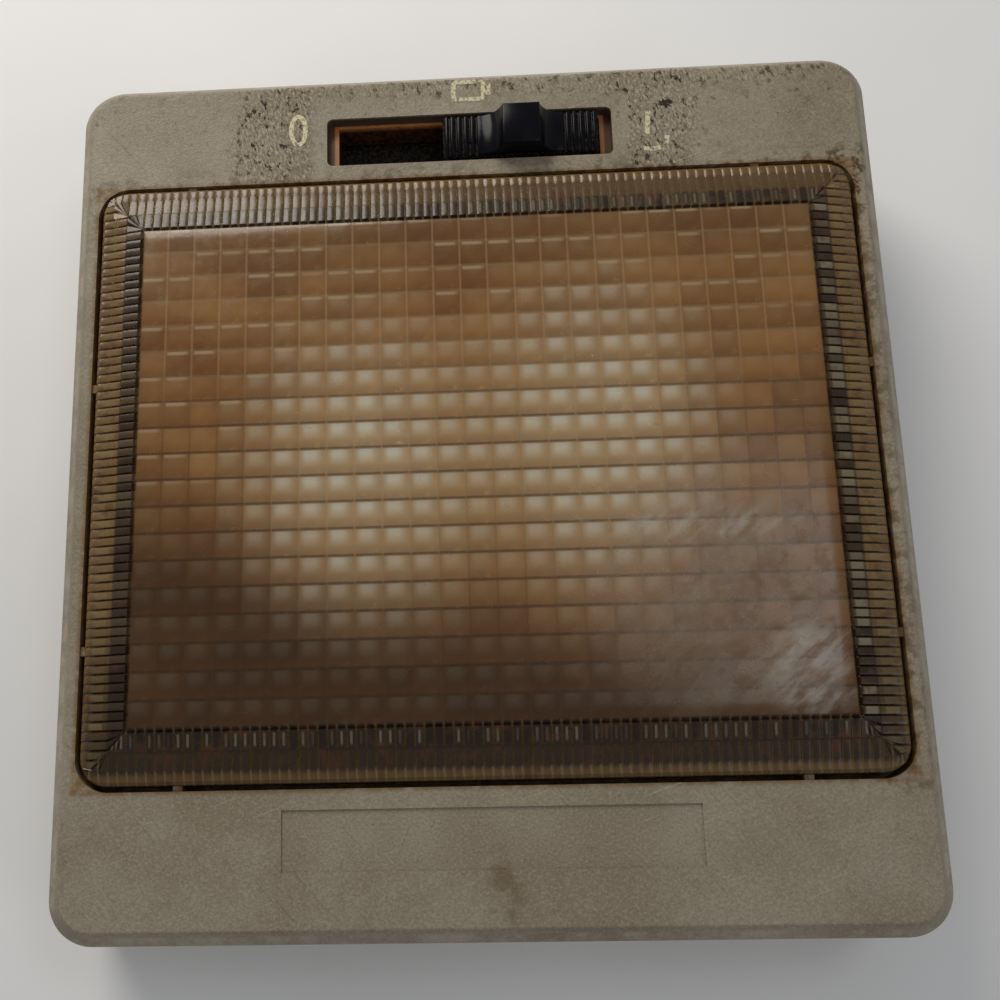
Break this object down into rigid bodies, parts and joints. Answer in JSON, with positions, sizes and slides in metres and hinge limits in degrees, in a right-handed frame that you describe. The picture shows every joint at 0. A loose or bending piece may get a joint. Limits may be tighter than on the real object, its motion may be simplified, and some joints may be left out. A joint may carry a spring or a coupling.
{
  "type": "vehicle interior lamp",
  "caption": "Surface-mounted vehicle cab ceiling lamp: moulded housing, pull-off prismatic lens with ribbed rim, tubular bulbs and a sliding off/door/on switch.",
  "frame": {"origin": "centre of the rear mounting plane", "axes": "+Z out through the lens, +Y towards the switch, +X right when looking at the lens"},
  "size_m": [0.153, 0.165, 0.0338],
  "materials": {
    "housing_grey": "fine grained grey moulding, dusty and scuffed",
    "lens_clear": "clear moulding gone amber with age, prisms inside",
    "reflector_white": "glossy white moulding",
    "zinc_steel": "zinc plated",
    "plated_brass": "nickel plated brass",
    "bare_brass": "stamped brass, slightly dull",
    "spring_brass": "spring bronze strip",
    "brown_laminate": "paper laminate board",
    "amber_plastic": "amber brown moulding",
    "black_plastic": "black moulding, dust in the grooves",
    "bulb_glass": "thin clear glass",
    "tungsten": "fine wire"
  },
  "bodies": {
    "housing_body": {"housing": "housing_grey", "reflector": "reflector_white", "reflector_screws": "zinc_steel", "clip_rivets": "plated_brass", "supply_busbar": "bare_brass", "lamp_busbar": "bare_brass", "switch_board": "brown_laminate", "switch_frame": "amber_plastic", "lamp_contact": "bare_brass", "door_contact": "bare_brass", "ground_contact": "bare_brass", "contact_rivets": "plated_brass", "supply_terminal": "plated_brass", "door_terminal": "plated_brass", "ground_terminal": "plated_brass", "switch_screws": "zinc_steel", "bulb_glass_left": "bulb_glass", "bulb_caps_left": "plated_brass", "bulb_filament_left": "tungsten", "bulb_clip_upper_left": "spring_brass", "bulb_clip_lower_left": "spring_brass", "bulb_glass_right": "bulb_glass", "bulb_caps_right": "plated_brass", "bulb_filament_right": "tungsten", "bulb_clip_upper_right": "spring_brass", "bulb_clip_lower_right": "spring_brass"},
    "lens_body": {"lens": "lens_clear"},
    "slider_body": {"switch_slider": "black_plastic", "contact_bridge": "bare_brass", "detent_spring": "zinc_steel"}
  },
  "joints": [
    {"name": "switch_slide", "type": "slide", "parent": "housing_body", "child": "slider_body", "axis": [1, 0, 0], "range_m": [-0.02, 0], "deforming": ["detent_spring"]},
    {"name": "lens_pull", "type": "slide", "parent": "housing_body", "child": "lens_body", "axis": [0, 0, 1], "range_m": [0, 0.05]}
  ]
}
